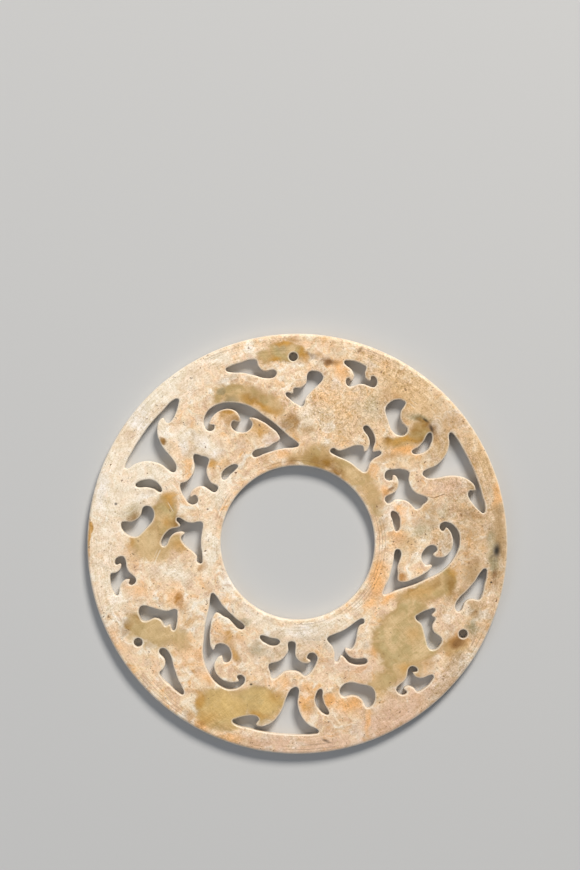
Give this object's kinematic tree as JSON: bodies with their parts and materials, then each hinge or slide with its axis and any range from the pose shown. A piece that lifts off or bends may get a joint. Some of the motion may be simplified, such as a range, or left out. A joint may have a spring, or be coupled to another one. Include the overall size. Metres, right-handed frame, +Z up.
{
  "type": "jade bi disc",
  "caption": "Flat round jade disc with a large central bore, pierced scroll openwork round it and small cord holes near the rim.",
  "frame": {"origin": "centre of the underside, which lies on the ground", "axes": "+Z up out of the front face, +Y towards the cord hole at the top of the pattern, +X to the right of it"},
  "size_m": [0.16, 0.16, 0.005],
  "materials": {
    "calcified_jade": "low polish, calcified cream with olive and brown stains"
  },
  "bodies": {
    "root": {"jade_bi_disc": "calcified_jade"}
  },
  "joints": []
}
